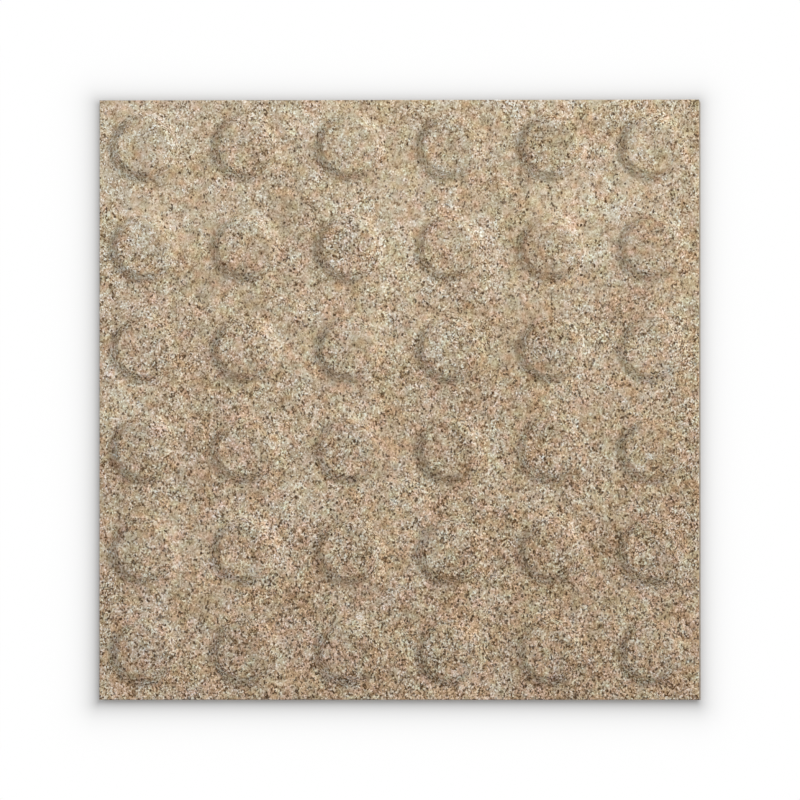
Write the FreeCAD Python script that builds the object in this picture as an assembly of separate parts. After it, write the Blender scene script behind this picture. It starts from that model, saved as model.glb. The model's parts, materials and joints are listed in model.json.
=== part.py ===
import FreeCAD, Part
import math
import os

# Tactile paving slab: one square of granite, sawn on every side, whose top is milled down
# round a square grid of flat-topped domes. It is one piece of stone, so it is one solid.
# The origin is at the middle of the underside, +Z is up, and X and Y run along the sides.
# All sizes are in millimetres.

# Slab
SLAB_LENGTH = 300.0       # along X
SLAB_WIDTH = 300.0        # along Y
SLAB_THICKNESS = 40.0     # from the underside to the milled ground between the domes
ARRIS = 0.3               # chamfer that takes the sharpness off the edges round the top

# One dome
DOME_TOP_DIAMETER = 26.0  # the flat on top
DOME_FLANK_RUN = 4.6      # how far the sloping flank reaches out from the flat
DOME_HEIGHT = 5.0         # above the ground
DOME_FOOT_EASE = 0.8      # narrow slope that the milling tool leaves round the foot
DOME_RIM_EASE = 0.3       # narrow slope worn along the edge of the flat

# Grid of domes
DOME_PITCH = 50.5         # from centre to centre, along X and along Y
EDGE_GROUND = 3.0         # least ground kept between a dome's foot and the slab's edge
SHIFTED_COLUMNS = 2       # columns at the -X side that were milled off the even pitch
COLUMN_SHIFT = 1.6        # how far those columns stand out towards -X

NODE = "tactile_slab"


def dome_base_radius():
    """Radius of a dome where its flank would meet the ground, before the foot is eased."""
    return DOME_TOP_DIAMETER / 2 + DOME_FLANK_RUN


def even_places(side, spare):
    """Centres of the domes along one side, evenly spaced about the slab's middle.

    side is the slab's length there, and spare the room kept at each end for shifted domes.
    """
    room = side - 2 * (dome_base_radius() + EDGE_GROUND + spare)
    count = math.floor(room / DOME_PITCH) + 1
    first = -DOME_PITCH * (count - 1) / 2
    return [first + DOME_PITCH * i for i in range(count)]


def dome_centres():
    """Centre of every dome on the ground, column by column from -X."""
    columns = even_places(SLAB_LENGTH, COLUMN_SHIFT)
    rows = even_places(SLAB_WIDTH, 0)
    centres = []
    for number, x in enumerate(columns):
        if number < SHIFTED_COLUMNS:
            x -= COLUMN_SHIFT
        centres += [FreeCAD.Vector(x, y, SLAB_THICKNESS) for y in rows]
    return centres


def sawn_slab():
    """The slab up to the ground between the domes, with its top edges eased."""
    corner = FreeCAD.Vector(-SLAB_LENGTH / 2, -SLAB_WIDTH / 2, 0)
    slab = Part.makeBox(SLAB_LENGTH, SLAB_WIDTH, SLAB_THICKNESS, corner)
    top_edges = [e for e in slab.Edges if math.isclose(e.BoundBox.ZMin, SLAB_THICKNESS)]
    return slab.makeChamfer(ARRIS, top_edges)


def eased(corner, before, after, size):
    """The two points that cut a corner off, each this far from it towards its neighbour."""
    return [corner + (end - corner).normalize() * size for end in (before, after)]


def dome():
    """One dome, standing on the origin: half its section, turned about Z."""
    axis_foot = FreeCAD.Vector(0, 0, 0)
    axis_top = FreeCAD.Vector(0, 0, DOME_HEIGHT)
    foot = FreeCAD.Vector(dome_base_radius(), 0, 0)
    ground = FreeCAD.Vector(DOME_PITCH, 0, 0)
    rim = FreeCAD.Vector(DOME_TOP_DIAMETER / 2, 0, DOME_HEIGHT)
    outline = [axis_foot]
    outline += eased(foot, ground, rim, DOME_FOOT_EASE)
    outline += eased(rim, foot, axis_top, DOME_RIM_EASE)
    outline += [axis_top, axis_foot]
    half_section = Part.Face(Part.makePolygon(outline))
    return half_section.revolve(axis_foot, FreeCAD.Vector(0, 0, 1), 360)


def tactile_slab():
    """The whole slab: the sawn body and its domes as one solid."""
    domes = []
    for centre in dome_centres():
        one = dome()
        one.translate(centre)
        domes.append(one)
    return sawn_slab().fuse(domes).removeSplitter()


def main():
    """Build the slab, write its STEP file and print what came out."""
    os.makedirs("parts", exist_ok=True)
    slab = tactile_slab()
    solid = slab.Solids[0]
    solid.exportStep(os.path.join("parts", NODE + ".step"))
    box = solid.BoundBox
    print(f"{NODE}: {len(slab.Solids)} solid, {len(dome_centres())} domes, valid {solid.isValid()}")
    print(f"size {box.XLength:.2f} x {box.YLength:.2f} x {box.ZLength:.2f} mm")
    print(f"volume {solid.Volume / 1e6:.4f} litres")


main()
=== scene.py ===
"""The tactile paving slab as it looks: flamed granite on top, sawn granite round the sides.

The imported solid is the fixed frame. A finer mesh of the same stone replaces its one node. It is
pressed onto the solid, and then worn as the mill, the flame and the saw leave such a stone.
Lengths are in metres, but the stone's pattern is drawn in millimetres.
"""

import json
import logging
import math
from dataclasses import dataclass
from enum import Enum

import bpy
import numpy as np
from mathutils import Euler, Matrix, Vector

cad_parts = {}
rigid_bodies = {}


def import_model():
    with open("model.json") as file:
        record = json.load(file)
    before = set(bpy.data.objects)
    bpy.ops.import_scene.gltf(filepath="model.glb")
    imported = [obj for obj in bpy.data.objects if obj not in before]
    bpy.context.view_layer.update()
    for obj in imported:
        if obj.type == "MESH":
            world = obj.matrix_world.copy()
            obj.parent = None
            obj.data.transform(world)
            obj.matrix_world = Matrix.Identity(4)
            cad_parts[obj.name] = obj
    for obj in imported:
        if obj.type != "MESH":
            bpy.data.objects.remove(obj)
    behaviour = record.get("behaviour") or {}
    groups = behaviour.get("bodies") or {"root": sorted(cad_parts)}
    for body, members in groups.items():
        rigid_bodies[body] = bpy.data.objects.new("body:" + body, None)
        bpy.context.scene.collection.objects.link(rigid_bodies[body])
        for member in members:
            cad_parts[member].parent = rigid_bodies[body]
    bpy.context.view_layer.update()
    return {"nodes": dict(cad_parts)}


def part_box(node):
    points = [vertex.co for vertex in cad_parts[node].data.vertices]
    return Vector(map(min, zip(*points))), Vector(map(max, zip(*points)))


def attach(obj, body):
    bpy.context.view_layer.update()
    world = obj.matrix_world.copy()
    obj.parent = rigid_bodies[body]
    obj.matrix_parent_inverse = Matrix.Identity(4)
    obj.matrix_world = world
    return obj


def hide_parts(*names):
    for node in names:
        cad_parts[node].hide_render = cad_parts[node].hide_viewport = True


LOG = logging.getLogger("tactile_slab")

NODE = "tactile_slab"
BODY = "root"
BAKE_MAP = "OFBake"
TOUCH = 1e-6  # places nearer than this are the same place
SIDE = 0.150  # from the slab's middle to each side
GROUND = 0.040  # height of the milled ground between the domes
MILLI = 1000.0  # millimetres in a metre
MIDDLE = 0.5  # of a tone, a noise or a lot, which go from 0 to 1

Colour = tuple[float, float, float, float]


def srgb(red: int, green: int, blue: int) -> Colour:
    """Turn a colour as a picture shows it, from 0 to 255, into a shader's linear colour.

    Args:
        red: The red share.
        green: The green share.
        blue: The blue share.

    Returns:
        The linear colour, fully opaque.
    """
    shares = (share / 255 for share in (red, green, blue))
    linear = (s / 12.92 if s <= 0.04045 else ((s + 0.055) / 1.055) ** 2.4 for s in shares)
    return (*linear, 1.0)


class Signal:
    """A node's output that Python expressions can use: each operator adds one Math node."""

    def __init__(self, sheet: "ShaderSheet", socket: bpy.types.NodeSocket) -> None:
        """Wrap one output socket.

        Args:
            sheet: The sheet that the socket's node is on.
            socket: The output.
        """
        self.sheet = sheet
        self.socket = socket

    def output(self, name: str) -> "Signal":
        """Another output of the same node."""
        return Signal(self.sheet, self.socket.node.outputs[name])

    def math(self, operation: str, *values: "Signal | float") -> "Signal":
        """One Math node on these values.

        Args:
            operation: The Math node's operation.
            *values: Its inputs, in order.

        Returns:
            The node's value.
        """
        return self.sheet.add("ShaderNodeMath", {"operation": operation}, dict(enumerate(values)))

    def __add__(self, other: "Signal | float") -> "Signal":
        """self + other."""
        return self.math("ADD", self, other)

    def __radd__(self, other: float) -> "Signal":
        """other + self."""
        return self.math("ADD", other, self)

    def __sub__(self, other: "Signal | float") -> "Signal":
        """self - other."""
        return self.math("SUBTRACT", self, other)

    def __rsub__(self, other: float) -> "Signal":
        """other - self."""
        return self.math("SUBTRACT", other, self)

    def __mul__(self, other: "Signal | float") -> "Signal":
        """self * other."""
        return self.math("MULTIPLY", self, other)

    def __rmul__(self, other: float) -> "Signal":
        """other * self."""
        return self.math("MULTIPLY", other, self)

    def larger(self, other: "Signal | float") -> "Signal":
        """The larger of the two values."""
        return self.math("MAXIMUM", self, other)

    def size(self) -> "Signal":
        """The value without its sign."""
        return self.math("ABSOLUTE", self)

    def ease(self, start: float, end: float) -> "Signal":
        """A share that goes smoothly from 0 at start to 1 at end.

        Args:
            start: The value at which the share leaves 0.
            end: The value at which it reaches 1. It may be below start.

        Returns:
            The share.
        """
        low, high = min(start, end), max(start, end)
        settings = {"interpolation_type": "SMOOTHSTEP"}
        sockets = {"Value": self, "From Min": low, "From Max": high}
        share = self.sheet.add("ShaderNodeMapRange", settings, sockets)
        return share if start < end else 1 - share


Value = Signal | float | Colour | tuple[float, float, float]


class ShaderSheet:
    """A node tree that is written one node at a time."""

    def __init__(self, tree: bpy.types.NodeTree) -> None:
        """Empty the tree.

        Args:
            tree: The tree of a material or of the world.
        """
        self.tree = tree
        tree.nodes.clear()

    def add(
        self,
        kind: str,
        settings: dict[str, object],
        sockets: dict[str | int, Value],
        output: str | int = 0,
    ) -> Signal | None:
        """Add a node, set it up, and fill or link its sockets.

        Args:
            kind: The node's type.
            settings: Its properties by name. "stops" are a ramp's places and colours.
            sockets: Its inputs by name or number.
            output: The output to hand back.

        Returns:
            That output, or nothing from a node that has none.
        """
        node = self.tree.nodes.new(kind)
        for name, value in settings.items():
            if name == "stops":
                self.set_stops(node.color_ramp, value)
            else:
                setattr(node, name, value)
        for name, value in sockets.items():
            if isinstance(value, Signal):
                self.tree.links.new(value.socket, node.inputs[name])
            else:
                node.inputs[name].default_value = value
        return Signal(self, node.outputs[output]) if node.outputs else None

    def set_stops(self, ramp: bpy.types.ColorRamp, stops: list[tuple[float, Colour]]) -> None:
        """Give a colour ramp these stops.

        Args:
            ramp: The ramp, which has two stops to begin with.
            stops: The place and the colour of each, from the lowest place up.
        """
        while len(ramp.elements) < len(stops):
            ramp.elements.new(1.0)
        for element, (place, colour) in zip(ramp.elements, stops):
            element.position = place
            element.color = colour

    def vector(self, operation: str, first: Value, second: Value) -> Signal:
        """One Vector Math node on two vectors.

        Args:
            operation: The node's operation.
            first: The first vector.
            second: The second one.

        Returns:
            The vector that comes out.
        """
        return self.add("ShaderNodeVectorMath", {"operation": operation}, {0: first, 1: second})

    def blend(self, share: Value, first: Value, second: Value, way: str = "MIX") -> Signal:
        """Blend two colours.

        Args:
            share: How much of the second colour there is, from 0 to 1.
            first: The colour at 0.
            second: The colour that is blended in.
            way: The Mix node's blend type.

        Returns:
            The blended colour.
        """
        settings = {"data_type": "RGBA", "blend_type": way}
        return self.add("ShaderNodeMix", settings, {0: share, 6: first, 7: second}, 2)


class Dressing(Enum):
    """What a face of the stone was worked with last."""

    FLAMED = "flamed"
    SAWN = "sawn"


def cells(place: Signal, size: float) -> Signal:
    """Cells of about one size, each with a random colour of its own.

    Args:
        place: The place in millimetres.
        size: The distance between cells, in millimetres.

    Returns:
        The cell's colour. Its node also tells the distance from the cell's middle.
    """
    sockets = {"Vector": place, "Scale": 1 / size}
    return place.sheet.add("ShaderNodeTexVoronoi", {}, sockets, "Color")


def lots(cell: Signal) -> tuple[Signal, Signal]:
    """Two random numbers of each cell, from 0 to 1."""
    red = cell.sheet.add("ShaderNodeSeparateColor", {}, {"Color": cell}, "Red")
    return red, red.output("Green")


def axis_of(place: Signal, axis: str) -> Signal:
    """A place's X, Y or Z."""
    return place.sheet.add("ShaderNodeSeparateXYZ", {}, {"Vector": place}, axis)


def off_middle(place: Signal) -> Signal:
    """How far a place is from the slab's middle, along X or Y, whichever is more."""
    x = axis_of(place, "X")
    return x.size().larger(x.output("Y").size())


def above_ground(place: Signal) -> Signal:
    """How high a place is above the ground between the domes, in millimetres."""
    return axis_of(place, "Z") - GROUND * MILLI


@dataclass(frozen=True)
class Cloud:
    """One layer of soft noise in the stone's pattern."""

    size: float  # from one hill to the next, in millimetres
    detail: float  # how many finer layers it has
    share: float = 1.0  # how much it counts for

    def sockets(self, place: Signal) -> dict[str, Value]:
        """What the noise's node is fed with."""
        return {"Vector": place, "Scale": 1 / self.size, "Detail": self.detail}

    def draw(self, place: Signal) -> Signal:
        """Draw the noise, about zero."""
        noise = place.sheet.add("ShaderNodeTexNoise", {}, self.sockets(place), "Fac")
        return self.share * (noise - MIDDLE)

    def push(self, place: Signal) -> Signal:
        """Push a place about by the noise.

        Args:
            place: The place in millimetres.

        Returns:
            The place that it is pushed to.
        """
        sheet = place.sheet
        noise = sheet.add("ShaderNodeTexNoise", {}, self.sockets(place), "Color")
        push = sheet.vector("SUBTRACT", noise, (MIDDLE, MIDDLE, MIDDLE))
        push = sheet.vector("MULTIPLY", push, (self.share, self.share, self.share))
        return sheet.vector("ADD", place, push)


@dataclass(frozen=True)
class Trend:
    """A steady change over the slab, with none in its middle."""

    across: float  # what is added at the side towards +X, and taken off at the other side
    along: float  # the same towards +Y

    def draw(self, place: Signal) -> Signal:
        """Draw the change at a place in millimetres."""
        x = axis_of(place, "X")
        return x * (self.across / (SIDE * MILLI)) + x.output("Y") * (self.along / (SIDE * MILLI))


@dataclass(frozen=True)
class Drift:
    """A slow change of the stone's hue, one way in some places and the other way elsewhere."""

    base: float  # which way the whole stone leans
    follow: float  # how far it follows what leads it
    clouds: tuple[Cloud, ...]
    trend: Trend
    high: Colour  # the tint where the drift is high
    low: Colour  # the tint where it is low
    apart: tuple[float, float, float] = (0.0, 0.0, 0.0)  # shift of its clouds, in millimetres
    whole: float = 0.3  # the drift, either way, at which a tint is whole

    def draw(self, place: Signal, lead: Signal) -> Signal:
        """Draw the drift.

        Args:
            place: The place in millimetres.
            lead: What leads it, about zero.

        Returns:
            The drift, about zero.
        """
        drift = self.base + self.follow * lead + self.trend.draw(place)
        shifted = place.sheet.vector("ADD", place, self.apart)
        for cloud in self.clouds:
            drift = drift + cloud.draw(shifted)
        return drift

    def tint(self, colour: Signal, drift: Signal) -> Signal:
        """Tint the stone.

        Args:
            colour: The colour to tint.
            drift: The drift that was drawn.

        Returns:
            The tinted colour.
        """
        sheet = colour.sheet
        colour = sheet.blend(drift.ease(0.0, self.whole), colour, self.high, "MULTIPLY")
        return sheet.blend(drift.ease(0.0, -self.whole), colour, self.low, "MULTIPLY")


@dataclass(frozen=True)
class Mica:
    """Dark flakes that are scattered through the stone."""

    spacing: float = 0.95  # from one possible flake to the next, in millimetres
    share: float = 0.11  # of the possible flakes that are there
    crowd: Cloud = Cloud(8.0, 1.0, 0.4)  # where there are more of them
    trend: Trend = Trend(0.02, -0.05)
    verge: tuple[float, float] = (-0.02, 0.03)  # of the draw, from no flake to a whole one
    faintest: float = 0.5  # how strong the faintest flake is
    colour: Colour = srgb(68, 46, 25)

    def scatter(self, colour: Signal, place: Signal, warped: Signal) -> Signal:
        """Scatter the flakes over the other minerals.

        Args:
            colour: The other minerals' colour.
            place: The place in millimetres.
            warped: The place that the grains are drawn at.

        Returns:
            The colour with the flakes.
        """
        flake, strength = lots(cells(warped, self.spacing))
        crowd = self.share + self.crowd.draw(place) + self.trend.draw(place)
        there = (crowd - flake).ease(*self.verge)
        strength = self.faintest + (1 - self.faintest) * strength
        return colour.sheet.blend(there * strength, colour, self.colour)


@dataclass(frozen=True)
class SawLines:
    """Faint level lines that the saw drew along the sides."""

    lines: Cloud = Cloud(1.6, 1.0)
    draw_out: tuple[float, float, float] = (0.02, 0.02, 1.0)  # makes the pattern long and level
    tone: float = 0.2  # how far they change the tone
    relief: float = 2.0  # how high they are in the bump

    def draw(self, place: Signal) -> Signal:
        """Draw the lines, about zero."""
        return self.lines.draw(place.sheet.vector("MULTIPLY", place, self.draw_out))


# Feldspar and quartz, from the darkest grains to the palest
GRAIN_COLOURS = [
    (0.0, srgb(89, 65, 37)),
    (0.25, srgb(149, 126, 97)),
    (0.5, srgb(189, 168, 141)),
    (0.75, srgb(213, 197, 174)),
    (1.0, srgb(236, 228, 214)),
]
PINK = Drift(
    base=0.02,
    follow=0.15,
    clouds=(Cloud(4.2, 0.0), Cloud(20.0, 1.0, 0.5)),
    trend=Trend(0.03, -0.12),
    high=(1.055, 0.935, 0.91, 1.0),
    low=(0.945, 1.03, 1.045, 1.0),
)
YELLOW = Drift(
    base=0.03,
    follow=0.25,
    clouds=(Cloud(4.6, 0.0), Cloud(24.0, 1.0, 0.5)),
    trend=Trend(0.05, -0.03),
    high=(1.0, 1.0, 0.9, 1.0),
    low=(1.0, 1.0, 1.075, 1.0),
    apart=(90.0, 35.0, 55.0),
)
MICA = Mica()


@dataclass(frozen=True)
class GraniteFinish:
    """Granite as one way of working leaves it. Sizes in its pattern are in millimetres."""

    dressing: Dressing
    level: float  # share of the broken stone's light colour
    contrast: float  # how far the single grains differ
    roughness: float
    relief: float  # height of the grains in the bump, in metres
    saw: SawLines | None = None

    # Grains
    grain: float = 0.65  # across one small grain
    stretch: tuple[float, float, float] = (1.16, 0.87, 1.0)  # how closely the grains stand
    warp: Cloud = Cloud(1.0, 1.0, 0.8)  # pushes them about, so that none has straight sides
    usual: float = 0.25  # how far a grain's lot moves its tone
    extreme: float = 0.4  # how much further it moves the tone of the palest and the darkest
    crystal: float = 2.0  # across one larger crystal
    crystal_share: float = 0.2  # how far a crystal's lot moves the tone
    cluster: Cloud = Cloud(5.0, 2.0, 0.37)  # groups of like grains
    stain: Cloud = Cloud(26.0, 1.0, 0.36)  # darker and paler patches

    # Where the grains differ more
    uneven: tuple[Cloud, ...] = (Cloud(13.0, 1.0, 1.5), Cloud(45.0, 0.0, 0.8))
    uneven_trend: Trend = Trend(0.0, -0.2)
    rim: tuple[float, float] = (20.0, 4.0)  # from the edge, from where it starts to its full
    rim_contrast: float = 0.16
    flank_foot: tuple[float, float] = (0.2, 0.8)  # heights above the ground where flanks begin
    flank_top: tuple[float, float] = (4.8, 4.3)  # and where they end
    flank_contrast: float = 0.2

    # Darker domes, and a paler band round the top edge: partly bruised stone, partly painted light
    # against the arris's own shade
    dark_dome_height: float = 1.0  # above the ground, from where the domes are darker
    dome_darkening: float = 0.06
    pale_edge_width: tuple[float, float] = (0.7, 0.3)  # from the edge
    pale_edge_depth: tuple[float, float] = (-1.4, -0.8)  # heights above the ground
    # how much paler the edge band is: bruised stone, with painted light that offsets the arris's
    # shade
    bruise_and_painted_light: float = 0.14

    # Sheen and fine relief
    fine: Cloud = Cloud(0.8, 2.0, 0.6)
    grain_height: float = 0.5  # of each grain's middle above its sides, in the bump
    rough_swing: float = 0.12  # how much rougher the palest grains are than the darkest
    specular: float = 0.25

    def material(self) -> bpy.types.Material:
        """Make the material.

        Returns:
            The granite with this finish.
        """
        material = bpy.data.materials.new(f"{self.dressing.value}_granite")
        material.use_nodes = True
        sheet = ShaderSheet(material.node_tree)
        here = sheet.add("ShaderNodeTexCoord", {}, {}, "Object")
        place = sheet.vector("MULTIPLY", here, (MILLI, MILLI, MILLI))
        warped = sheet.vector("MULTIPLY", self.warp.push(place), self.stretch)
        cell = cells(warped, self.grain)
        tone = self.tone(place, warped, cell)
        sockets = {
            "Base Color": self.level_domes_and_edges(place, self.minerals(place, warped, tone)),
            "Roughness": self.roughness + self.rough_swing * (tone - MIDDLE),
            "Normal": self.bump(place, cell),
            "Specular IOR Level": self.specular,
        }
        stone = sheet.add("ShaderNodeBsdfPrincipled", {}, sockets)
        sheet.add("ShaderNodeOutputMaterial", {}, {"Surface": stone})
        return material

    def tone(self, place: Signal, warped: Signal, cell: Signal) -> Signal:
        """How light each spot of the stone is.

        Args:
            place: The place in millimetres.
            warped: The place that the grains are drawn at.
            cell: The small grains.

        Returns:
            The tone, from about 0 to 1.
        """
        grain, _ = lots(cell)
        crystal, _ = lots(cells(warped, self.crystal))
        lot = 2 * grain - 1
        strength = self.contrast * (1 + self.unevenness(place))
        spread = strength * lot * (self.usual + self.extreme * lot * lot)
        spread = spread + self.crystal_share * (crystal - MIDDLE)
        tone = MIDDLE + spread + self.cluster.draw(place) + self.stain.draw(place)
        if self.saw:
            tone = tone + self.saw.tone * self.saw.draw(place)
        return tone

    def unevenness(self, place: Signal) -> Signal:
        """How much more the grains differ in one place than in another.

        Args:
            place: The place in millimetres.

        Returns:
            The share that is added to the contrast, about zero.
        """
        uneven = self.uneven_trend.draw(place)
        for cloud in self.uneven:
            uneven = uneven + cloud.draw(place)
        rim = off_middle(place).ease(*(SIDE * MILLI - inset for inset in self.rim))
        up = above_ground(place)
        flank = up.ease(*self.flank_foot) * up.ease(*self.flank_top)
        return uneven + self.rim_contrast * rim + self.flank_contrast * flank

    def minerals(self, place: Signal, warped: Signal, tone: Signal) -> Signal:
        """The colour of feldspar, quartz and mica at each spot.

        Args:
            place: The place in millimetres.
            warped: The place that the grains are drawn at.
            tone: How light the spot is.

        Returns:
            The colour.
        """
        colour = place.sheet.add("ShaderNodeValToRGB", {"stops": GRAIN_COLOURS}, {"Fac": tone})
        pink = PINK.draw(place, MIDDLE - tone)
        yellow = YELLOW.draw(place, pink)
        colour = YELLOW.tint(PINK.tint(colour, pink), yellow)
        return MICA.scatter(colour, place, warped)

    def level_domes_and_edges(self, place: Signal, colour: Signal) -> Signal:
        """The stone's colour at its dressing's level, darker on the domes, and paler in a band round
        the top edge that is partly bruised stone and partly painted light against the arris's own
        shade.

        Args:
            place: The place in millimetres.
            colour: The minerals' colour.

        Returns:
            The colour.
        """
        sheet = place.sheet
        up = above_ground(place)
        # A paler band along the arris: partly bruised stone, partly painted light that offsets the
        # arris's own shade.
        edge = off_middle(place).ease(*(SIDE * MILLI - inset for inset in self.pale_edge_width))
        bruise_and_painted_light_band = edge * up.ease(*self.pale_edge_depth)
        dark_dome = up.ease(0.0, self.dark_dome_height)
        level = self.level * (1 - self.dome_darkening * dark_dome + self.bruise_and_painted_light * bruise_and_painted_light_band)
        grey = sheet.add("ShaderNodeCombineColor", {}, {0: level, 1: level, 2: level})
        return sheet.blend(1.0, colour, grey, "MULTIPLY")

    def bump(self, place: Signal, cell: Signal) -> Signal:
        """The relief that is finer than the mesh.

        Args:
            place: The place in millimetres.
            cell: The small grains.

        Returns:
            The surface's normal.
        """
        height = self.fine.draw(place) - self.grain_height * cell.output("Distance")
        if self.saw:
            height = height + self.saw.relief * self.saw.draw(place)
        sockets = {"Distance": self.relief, "Height": height}
        return place.sheet.add("ShaderNodeBump", {}, sockets)


FLAMED = GraniteFinish(
    Dressing.FLAMED, level=1.1, contrast=0.77, roughness=0.88, relief=0.00027
)
SAWN = GraniteFinish(
    Dressing.SAWN, level=0.66, contrast=0.75, roughness=0.6, relief=0.00006, saw=SawLines()
)

SPARED_CONTRAST = 2.0  # what is added to a wear pattern's contrast where it spares all
SPARED_LIFT = 0.5  # what is added to its level there


class Course(Enum):
    """The direction in which wear moves the surface."""

    ACROSS = "X"
    ALONG = "Y"
    INWARD = "NORMAL"


@dataclass(frozen=True)
class Wear:
    """One way in which the worked surface leaves the exact solid."""

    name: str
    course: Course
    spread: float  # from one hollow to the next
    depth: float  # from the highest to the lowest place
    basis: str  # the texture's noise
    group: str  # the vertices that it reaches
    spared: float = 0.0  # how much of them it passes by, from 0 to 1
    layers: int = 2  # finer ones of its noise

    def carve(self, stone: bpy.types.Object) -> None:
        """Move the stone's surface. What moves inward only takes stone away.

        Sparing lifts the pattern, and what it lifts past its top is cut off and not worn.

        Args:
            stone: The mesh object.
        """
        pattern = bpy.data.textures.new(self.name, "CLOUDS")
        pattern.noise_scale = self.spread
        pattern.noise_basis = self.basis
        pattern.noise_depth = self.layers
        pattern.contrast = 1 + SPARED_CONTRAST * self.spared
        pattern.intensity = 1 + SPARED_LIFT * self.spared
        pattern.use_clamp = True
        bpy.ops.object.modifier_add(type="DISPLACE")
        carving = stone.modifiers[-1]
        carving.texture = pattern
        carving.texture_coords = "LOCAL"
        carving.direction = self.course.value
        carving.strength = self.depth
        carving.mid_level = 1.0 if self.course is Course.INWARD else MIDDLE
        carving.vertex_group = self.group
        bpy.ops.object.modifier_apply(modifier=carving.name)


class Face(Enum):
    """The block's six faces: the axis each one looks along, and which way."""

    TOP = (2, 1)
    UNDERSIDE = (2, -1)
    RIGHT = (0, 1)
    LEFT = (0, -1)
    FAR = (1, 1)
    NEAR = (1, -1)


@dataclass(frozen=True)
class MapPatch:
    """Where one face of the block lies on the square map for baking the stone."""

    face: Face
    corner: tuple[float, float]  # lower left, from 0 to 1
    across: int  # the axis that runs to the right on the map
    up: int  # the axis that runs up on it
    scale: float  # of the map for each metre
    turned_from: float | None = None  # where the first axis starts, if it runs to the left

    def lay(self, places: np.ndarray, low: Vector) -> np.ndarray:
        """Find the places on the map.

        Args:
            places: Places on the face, one row each.
            low: The slab's lowest corner.

        Returns:
            One row of two numbers for each place.
        """
        right = places[:, self.across] - low[self.across]
        if self.turned_from is not None:
            right = self.turned_from - places[:, self.across]
        above = places[:, self.up] - low[self.up]
        return np.array(self.corner) + self.scale * np.stack([right, above], axis=1)


WEIGHT_DIGITS = 2  # to which a vertex's share of wear is rounded
MAP_MARGIN = 0.005  # bare border of the map
MAP_GAP = 0.006  # bare strip between two faces on it
MAP_SCALE = 2.3  # of the map for each metre
UNDERSIDE_SCALE = 0.97  # the same for the underside, which needs less room


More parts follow.
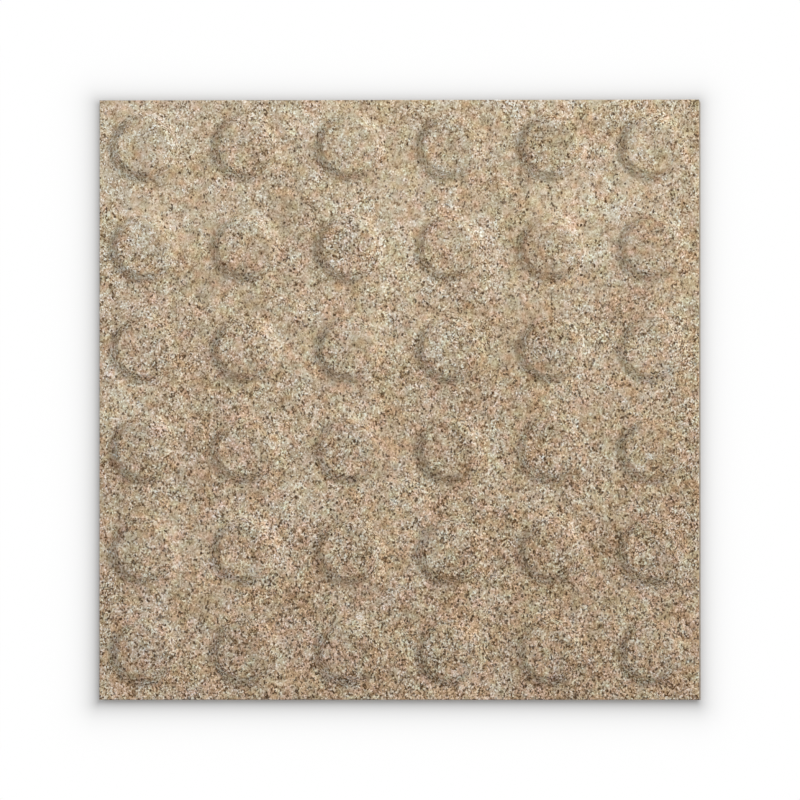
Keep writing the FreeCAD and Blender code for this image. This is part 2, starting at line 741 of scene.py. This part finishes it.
@dataclass
class TactileSlab:
    """The one piece of stone: a fine dressed top on a plainer sawn block."""

    solid: bpy.types.Object
    low: Vector
    high: Vector
    arris: float = 0.0003  # the eased edge round the top
    ground: float = GROUND
    rim_drop: float = 0.0005  # how far the ground is worn down at the slab's edge
    rim_reach: float = 0.0042  # how far in from the edge it is worn
    foot_step: float = 0.0004  # how far the flanks stand out at the foot, past the solid's
    foot_run: float = 2.27  # run of the solid's eased foot for its rise
    top_cells: int = 210  # along each side of the dressed top
    block_cells: int = 40  # along each side of the sawn block
    block_rows: int = 4  # up the block's sides
    edge_rows: tuple[float, ...] = (0.001, 0.0015)  # fine rows below the arris
    block_top: float = 0.034  # height of the block, below the fine rows
    sharp_angle: float = math.radians(40)  # between two polygons, from where their edge is sharp
    top_rise: float = 0.3  # of a normal, above which a polygon belongs to the top
    torn_foot: float = 0.0003  # height above the ground from where the flanks are torn
    torn_rim: float = 0.0001  # how far below the domes' flats that ends
    field_reach: float = 0.004  # from the arris to where the mill wandered freely
    top_reach: float = 0.003  # from the edge to where the top is worn in full
    edge_wear: float = 0.1  # share of the top's wear that reaches the edge
    wears: tuple[Wear, ...] = (
        Wear("mill_wander_across", Course.ACROSS, 0.004, 0.0011, "ORIGINAL_PERLIN", "field"),
        Wear("mill_wander_along", Course.ALONG, 0.0036, 0.0011, "IMPROVED_PERLIN", "field"),
        Wear("hammered_hollows", Course.INWARD, 0.010, 0.0004, "ORIGINAL_PERLIN", "top"),
        Wear("burst_crystals", Course.INWARD, 0.0030, 0.0003, "VORONOI_F1", "top"),
        Wear("burst_grains", Course.INWARD, 0.0021, 0.0002, "IMPROVED_PERLIN", "top"),
        Wear("torn_flanks", Course.INWARD, 0.0018, 0.0003, "ORIGINAL_PERLIN", "flanks"),
        Wear("chipped_arris", Course.INWARD, 0.0035, 0.0006, "ORIGINAL_PERLIN", "arris", 0.8),
        Wear("saw_wander", Course.INWARD, 0.06, 0.00015, "ORIGINAL_PERLIN", "sides"),
    )

    @property
    def length(self) -> float:
        """The slab's size along X."""
        return self.high.x - self.low.x

    @property
    def width(self) -> float:
        """The slab's size along Y."""
        return self.high.y - self.low.y

    @property
    def above(self) -> float:
        """A height that is clear of the domes."""
        return self.high.z + self.arris

    @property
    def arris_foot(self) -> float:
        """The height at which the arris meets the sides."""
        return self.ground - self.rim_drop - self.arris

    def build(self) -> bpy.types.Object:
        """Model the stone.

        Returns:
            The finished mesh object.
        """
        stone = self.lay_top()
        self.press(stone)
        self.refine_flanks(stone)
        self.press(stone)
        self.square_feet(stone)
        self.turn_edges_down()
        self.add_block(stone)
        self.close_sides(stone)
        faces = self.find_faces(stone)
        self.assign_finishes(stone, faces)
        self.lay_map(stone, faces)
        self.mark_groups(stone)
        for wear in self.wears:
            wear.carve(stone)
        bpy.ops.object.shade_smooth_by_angle(angle=self.sharp_angle)
        return stone

    def lay_top(self) -> bpy.types.Object:
        """Lay a fine flat grid over the slab, inside the arris.

        Returns:
            The new mesh object.
        """
        bpy.ops.object.select_all(action="DESELECT")
        bpy.ops.mesh.primitive_grid_add(
            x_subdivisions=self.top_cells,
            y_subdivisions=self.top_cells,
            size=1,
            location=(0, 0, self.above),
        )
        stone = bpy.context.object
        stone.name = "granite_slab"
        stone.data.name = "granite_slab"
        stone.scale = (self.length - 2 * self.arris, self.width - 2 * self.arris, 1)
        bpy.ops.object.transform_apply(location=True, rotation=True, scale=True)
        return stone

    def press(self, stone: bpy.types.Object) -> None:
        """Press the grid down onto the solid, which gives it the domes.

        Args:
            stone: The flat grid.
        """
        bpy.ops.object.modifier_add(type="SHRINKWRAP")
        pressed = stone.modifiers[-1]
        pressed.target = self.solid
        pressed.wrap_method = "PROJECT"
        pressed.use_project_z = True
        pressed.use_positive_direction = False
        pressed.use_negative_direction = True
        bpy.ops.object.modifier_apply(modifier=pressed.name)

    def refine_flanks(self, stone: bpy.types.Object) -> None:
        """Divide the cells on the domes' flanks, and lift the grid off the solid again.

        Args:
            stone: The grid that was pressed onto the solid.
        """
        heights = read_places(stone)[:, 2]
        sloping = (heights > self.ground + TOUCH) & (heights < self.high.z - TOUCH)
        pick(stone, edges_within(stone, sloping))
        bpy.ops.mesh.select_more()
        bpy.ops.mesh.subdivide(number_cuts=1)
        bpy.ops.object.mode_set(mode="OBJECT")
        places = read_places(stone)
        places[:, 2] = self.above
        stone.data.vertices.foreach_set("co", places.ravel())

    def square_feet(self, stone: bpy.types.Object) -> None:
        """Carry the flanks on down to the ground, where the solid's feet are eased.

        Args:
            stone: The grid that was pressed onto the solid.
        """
        places = read_places(stone)
        up = places[:, 2] - self.ground
        tall = self.high.z - self.ground
        flank = self.foot_step + (1 - self.foot_step / tall) * up
        foot = self.foot_run * up - self.foot_step
        squared = np.clip(np.minimum(flank, foot), 0, tall)
        places[:, 2] = self.ground + np.where(up > TOUCH, squared, up)
        stone.data.vertices.foreach_set("co", places.ravel())

    def turn_edges_down(self) -> None:
        """Wear the rim down, then turn the edge over the arris into the first rows of the sides."""
        bpy.ops.object.mode_set(mode="EDIT")
        bpy.ops.mesh.select_mode(type="EDGE")
        bpy.ops.mesh.select_all(action="DESELECT")
        bpy.ops.mesh.select_non_manifold()
        bpy.ops.transform.translate(
            value=(0, 0, -self.rim_drop),
            use_proportional_edit=True,
            proportional_edit_falloff="SHARP",
            proportional_size=self.rim_reach,
        )
        self.extrude(-self.arris)
        across = self.length / (self.length - 2 * self.arris)
        along = self.width / (self.width - 2 * self.arris)
        bpy.ops.transform.resize(value=(across, along, 1), center_override=(0, 0, 0))
        for row in self.edge_rows:
            self.extrude(-row)

    def extrude(self, rise: float) -> None:
        """Extrude what is selected straight up or down."""
        bpy.ops.mesh.extrude_region_move(TRANSFORM_OT_translate={"value": (0, 0, rise)})

    def add_block(self, stone: bpy.types.Object) -> None:
        """Add the sawn block below: its underside, and its sides up to the fine rows.

        Args:
            stone: The mesh object, in edit mode.
        """
        bpy.ops.mesh.select_all(action="DESELECT")
        bpy.ops.mesh.primitive_grid_add(
            x_subdivisions=self.block_cells,
            y_subdivisions=self.block_cells,
            size=1,
            location=(0, 0, self.low.z),
        )
        bpy.ops.transform.resize(value=(self.length, self.width, 1), center_override=(0, 0, 0))
        places = read_places(stone)
        foot = np.abs(places[:, 2] - self.low.z) < TOUCH
        pick(stone, edges_within(stone, foot & self.on_outline(places)))
        for _ in range(self.block_rows):
            self.extrude((self.block_top - self.low.z) / self.block_rows)

    def on_outline(self, places: np.ndarray) -> np.ndarray:
        """Which places lie on the slab's four sides."""
        return np.logical_or.reduce([self.on_side(places, *side) for side in self.sides()])

    def sides(self) -> list[tuple[int, float]]:
        """Each side as its axis, 0 or 1, and its place along it."""
        return [(axis, end[axis]) for axis in (0, 1) for end in (self.low, self.high)]

    def on_side(self, places: np.ndarray, axis: int, end: float) -> np.ndarray:
        """Which places lie on one side."""
        return np.abs(places[:, axis] - end) < TOUCH

    def close_sides(self, stone: bpy.types.Object) -> None:
        """Bridge the fine rows to the block, one side at a time, and face all outward.

        Args:
            stone: The mesh object.
        """
        edge_foot = self.arris_foot - sum(self.edge_rows)
        for axis, end in self.sides():
            places = read_places(stone)
            side = self.on_side(places, axis, end)
            rows = [np.abs(places[:, 2] - z) < TOUCH for z in (edge_foot, self.block_top)]
            chains = [edges_within(stone, side & row) for row in rows]
            pick(stone, np.logical_or(*chains))
            bpy.ops.mesh.bridge_edge_loops()
        bpy.ops.mesh.select_all(action="SELECT")
        bpy.ops.mesh.normals_make_consistent(inside=False)
        bpy.ops.object.mode_set(mode="OBJECT")

    def find_faces(self, stone: bpy.types.Object) -> dict[Face, np.ndarray]:
        """Sort the polygons by the face of the block that they belong to.

        Args:
            stone: The mesh object, in object mode.

        Returns:
            Which polygons each face has. The arris goes with the top.
        """
        flat = np.empty(len(stone.data.polygons) * 3, np.float32)
        stone.data.polygons.foreach_get("normal", flat)
        normals = flat.reshape(-1, 3)
        top = normals[:, 2] > self.top_rise
        axes = np.abs(normals).argmax(axis=1)
        faces = {}
        for face in Face:
            axis, way = face.value
            looking = (axes == axis) & (normals[:, axis] * way > 0)
            faces[face] = top if face is Face.TOP else looking & ~top
        return faces

    def assign_finishes(self, stone: bpy.types.Object, faces: dict[Face, np.ndarray]) -> None:
        """Give the top the flamed finish and the other faces the sawn one.

        Args:
            stone: The mesh object.
            faces: Which polygons each face has.
        """
        for finish in (FLAMED, SAWN):
            stone.data.materials.append(finish.material())
        sawn = (~faces[Face.TOP]).astype(np.int32)
        stone.data.polygons.foreach_set("material_index", sawn)

    def map_patches(self) -> tuple[MapPatch, ...]:
        """Find room for each face: the top in a corner, and the others beside and above it.

        Returns:
            The six faces' places on the map.
        """
        start = MAP_MARGIN
        beside = start + MAP_SCALE * self.length + MAP_GAP
        strip = MAP_SCALE * self.ground + MAP_GAP
        right = (beside + strip, start)
        return (
            MapPatch(Face.TOP, (start, start), 0, 1, MAP_SCALE),
            MapPatch(Face.LEFT, (beside, start), 2, 1, MAP_SCALE),
            MapPatch(Face.RIGHT, right, 2, 1, MAP_SCALE, turned_from=self.ground),
            MapPatch(Face.FAR, (beside + 2 * strip, start), 2, 0, MAP_SCALE),
            MapPatch(Face.NEAR, (start, beside), 0, 2, MAP_SCALE),
            MapPatch(Face.UNDERSIDE, (beside, beside), 1, 0, UNDERSIDE_SCALE),
        )

    def lay_map(self, stone: bpy.types.Object, faces: dict[Face, np.ndarray]) -> None:
        """Lay the faces out on the map for baking, with most room for the top.

        Args:
            stone: The mesh object.
            faces: Which polygons each face has.
        """
        mesh = stone.data
        places = read_places(stone)
        corners = np.empty(len(mesh.loops), np.int32)
        mesh.loops.foreach_get("vertex_index", corners)
        counts = np.empty(len(mesh.polygons), np.int32)
        mesh.polygons.foreach_get("loop_total", counts)
        spots = np.zeros((len(mesh.loops), 2), np.float32)
        for patch in self.map_patches():
            chosen = np.repeat(faces[patch.face], counts)
            spots[chosen] = patch.lay(places[corners[chosen]], self.low)
        layer = mesh.uv_layers.new(name=BAKE_MAP)
        layer.uv.foreach_set("vector", spots.ravel())

    def mark_groups(self, stone: bpy.types.Object) -> None:
        """Name the vertices that each kind of wear reaches.

        Args:
            stone: The mesh object.
        """
        places = read_places(stone)
        inset = np.minimum(
            self.length / 2 - np.abs(places[:, 0]), self.width / 2 - np.abs(places[:, 1])
        )
        above = places[:, 2] > self.arris_foot - TOUCH
        up = places[:, 2] - self.ground
        tall = self.high.z - self.ground
        group_weights = {
            "flanks": (up > self.torn_foot) & (up < tall - self.torn_rim),
            "arris": above & (inset < 2 * self.arris),
            "field": above * np.clip((inset - self.arris) / self.field_reach, 0, 1),
            "top": above * np.clip(inset / self.top_reach, self.edge_wear, 1),
            "sides": self.on_outline(places) * (places[:, 2] > self.low.z + TOUCH),
        }
        for name, weights in group_weights.items():
            group = stone.vertex_groups.new(name=name)
            levels = np.round(weights.astype(float), WEIGHT_DIGITS)
            for level in np.unique(levels[levels > 0]):
                group.add(np.flatnonzero(levels == level).tolist(), float(level), "REPLACE")

    def declare(self, stone: bpy.types.Object) -> None:
        """Tie the stone to the frame.

        Args:
            stone: The mesh object.
        """
        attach(stone, BODY)
        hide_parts(NODE)


def read_places(stone: bpy.types.Object) -> np.ndarray:
    """The place of every vertex, read in object mode.

    Args:
        stone: The mesh object.

    Returns:
        One row of X, Y and Z for each vertex.
    """
    bpy.ops.object.mode_set(mode="OBJECT")
    flat = np.empty(len(stone.data.vertices) * 3, np.float32)
    stone.data.vertices.foreach_get("co", flat)
    return flat.reshape(-1, 3)


def edges_within(stone: bpy.types.Object, chosen: np.ndarray) -> np.ndarray:
    """The edges that have both ends among the chosen vertices.

    Args:
        stone: The mesh object, in object mode.
        chosen: Which vertices are chosen.

    Returns:
        Which edges are.
    """
    ends = np.empty(len(stone.data.edges) * 2, np.int32)
    stone.data.edges.foreach_get("vertices", ends)
    return chosen[ends.reshape(-1, 2)].all(axis=1)


def pick(stone: bpy.types.Object, edges: np.ndarray) -> None:
    """Select these edges and nothing else, and go into edit mode.

    Args:
        stone: The mesh object, in object mode.
        edges: Which edges to select.
    """
    mesh = stone.data
    mesh.vertices.foreach_set("select", np.zeros(len(mesh.vertices), bool))
    mesh.polygons.foreach_set("select", np.zeros(len(mesh.polygons), bool))
    mesh.edges.foreach_set("select", edges)
    bpy.ops.object.mode_set(mode="EDIT")
    bpy.ops.mesh.select_mode(type="EDGE")


@dataclass(frozen=True)
class Spotlight:
    """A large soft lamp whose pool of light fades towards its rim."""

    name: str
    azimuth: float  # degrees from +X towards +Y
    elevation: float  # degrees above the floor
    light: float  # share of a colour's own level that it gives level ground
    pool: float  # radius of the lit pool, across the beam
    aim: tuple[float, float]  # the pool's middle, from the target
    shadow: bool  # whether it throws one
    distance: float = 3.0
    radius: float = 0.4  # of the lamp

    def hang(self, target: Vector) -> None:
        """Hang the lamp and turn it. The camera doesn't see it.

        Args:
            target: The point that the lamp's place is measured from.
        """
        across, up = math.radians(self.azimuth), math.radians(self.elevation)
        way = Vector((math.cos(up) * math.cos(across), math.cos(up) * math.sin(across), math.sin(up)))
        place = target + way * self.distance
        aim = target + Vector((*self.aim, 0))
        bpy.ops.object.light_add(type="SPOT", location=place)
        lamp = bpy.context.object
        lamp.name = self.name
        lamp.rotation_euler = (place - aim).to_track_quat("Z", "Y").to_euler()
        lamp.visible_camera = False
        lamp.data.use_shadow = self.shadow
        lamp.data.shadow_soft_size = self.radius
        lamp.data.spot_size = 2 * math.atan(self.pool / self.distance)
        lamp.data.spot_blend = 1.0
        lamp.data.energy = self.power()

    def power(self) -> float:
        """The watts that give level ground at the target its share of light."""
        across_beam = math.pi * self.light / math.sin(math.radians(self.elevation))
        return across_beam * 4 * math.pi * self.distance**2


@dataclass
class Studio:
    """The white floor with a painted shade round the slab, the light and the camera."""

    target: Vector  # the middle of the slab's ground
    half_length: float
    half_width: float
    floor_size: float = 8.0
    floor_and_painted_shade_grey: float = 0.57  # the floor's grey, which scatters light everywhere; the camera sees it only in the painted shade round the slab, lit and shaded there by the lamps
    painted_shade_shift: tuple[float, float] = (-0.0022, -0.0008)  # of the painted shade's outline from the slab's, towards -X and -Y
    painted_shade_length: float = 0.005  # on which the painted shade on the floor fades to about a third
    sky: float = 0.34  # share of a colour's own level that comes from all round
    view_width: float = 0.39976  # of the slab's ground that the picture takes in
    view_shift: tuple[float, float] = (0.0005, -0.00015)  # of the picture's middle
    camera_distance: float = 8.0
    lean_across: float = math.radians(2.0)  # of the camera towards +X
    lean_along: float = math.radians(1.1)  # of the camera towards -Y
    lamps: tuple[Spotlight, ...] = (
        Spotlight("key_lamp", 34, 24, light=0.3, pool=0.9, aim=(0.0, 0.33), shadow=False),
        Spotlight("overhead_lamp", 90, 90, light=0.43, pool=0.82, aim=(0.0, 0.3), shadow=True),
    )

    def build(self) -> None:
        """Make the floor, the light and the camera."""
        self.lay_floor()
        self.light_sky()
        for lamp in self.lamps:
            lamp.hang(self.target)
        self.set_camera()
        bpy.context.scene.view_settings.view_transform = "Standard"

    def seen(self, sheet: ShaderSheet) -> Signal:
        """Tell what looks at a surface.

        Args:
            sheet: The sheet to draw on.

        Returns:
            1 where the camera, a reflection or glass looks, and 0 for scattered light.
        """
        path = sheet.add("ShaderNodeLightPath", {}, {}, "Is Camera Ray")
        glossy = path.output("Is Glossy Ray")
        return path.larger(glossy).larger(path.output("Is Transmission Ray"))

    def lay_floor(self) -> None:
        """Lay a white floor that keeps a painted shade close round the slab: grey floor, lit and
        shaded by the lamps, that fades to painted white.
        """
        bpy.ops.mesh.primitive_plane_add(size=self.floor_size, location=(0, 0, 0))
        floor = bpy.context.object
        floor.name = "floor"
        material = bpy.data.materials.new("white_floor_with_painted_shade")
        material.use_nodes = True
        sheet = ShaderSheet(material.node_tree)
        here = sheet.add("ShaderNodeTexCoord", {}, {}, "Object")
        here = sheet.vector("SUBTRACT", here, (*self.painted_shade_shift, 0))
        away = sheet.add("ShaderNodeVectorMath", {"operation": "ABSOLUTE"}, {0: here})
        away = sheet.vector("SUBTRACT", away, (self.half_length, self.half_width, 0))
        away = sheet.vector("MAXIMUM", away, (0, 0, 0))
        apart = sheet.add("ShaderNodeVectorMath", {"operation": "LENGTH"}, {0: away}, "Value")
        # Painted shade: the camera sees the grey floor near the shifted outline, fading to painted
        # white further off.
        painted_shade = apart.math("EXPONENT", apart * (-1 / self.painted_shade_length))
        grey = (self.floor_and_painted_shade_grey, self.floor_and_painted_shade_grey, self.floor_and_painted_shade_grey, 1)
        lit = sheet.add("ShaderNodeBsdfDiffuse", {}, {"Color": grey})
        white = sheet.add("ShaderNodeEmission", {}, {"Color": (1, 1, 1, 1), "Strength": 1.0})
        share = (1 - painted_shade) * self.seen(sheet)
        mixed = sheet.add("ShaderNodeMixShader", {}, {0: share, 1: lit, 2: white})
        sheet.add("ShaderNodeOutputMaterial", {}, {"Surface": mixed})
        floor.data.materials.append(material)

    def light_sky(self) -> None:
        """Light the slab from all round, before a white background."""
        world = bpy.data.worlds.new("studio")
        bpy.context.scene.world = world
        world.use_nodes = True
        sheet = ShaderSheet(world.node_tree)
        strength = self.sky + (1 - self.sky) * self.seen(sheet)
        sky = sheet.add(
            "ShaderNodeBackground", {}, {"Color": (1, 1, 1, 1), "Strength": strength}
        )
        sheet.add("ShaderNodeOutputWorld", {}, {"Surface": sky})

    def set_camera(self) -> None:
        """Look down on the slab from far off, with +Y at the picture's top.

        The camera leans so little to the right and to the front that just the edges of those
        two sides come into view.
        """
        turn = Euler((self.lean_along, self.lean_across, 0))
        middle = self.target + Vector((*self.view_shift, 0))
        place = middle + turn.to_matrix() @ Vector((0, 0, self.camera_distance))
        bpy.ops.object.camera_add(location=place, rotation=turn)
        camera = bpy.context.object
        camera.data.lens = camera.data.sensor_width * self.camera_distance / self.view_width
        camera.data.clip_end = 4 * self.camera_distance
        bpy.context.scene.camera = camera


def main() -> None:
    """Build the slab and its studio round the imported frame."""
    logging.basicConfig(level=logging.INFO, format="%(name)s: %(message)s")
    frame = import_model()
    low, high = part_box(NODE)
    slab = TactileSlab(frame["nodes"][NODE], low, high)
    stone = slab.build()
    slab.declare(stone)
    stone.data.calc_loop_triangles()
    LOG.info("%s: %d triangles", stone.name, len(stone.data.loop_triangles))
    studio = Studio(Vector((0, 0, slab.ground)), slab.length / 2, slab.width / 2)
    studio.build()
    LOG.info("studio: %d lamps", len(studio.lamps))


if __name__ == "__main__":
    main()
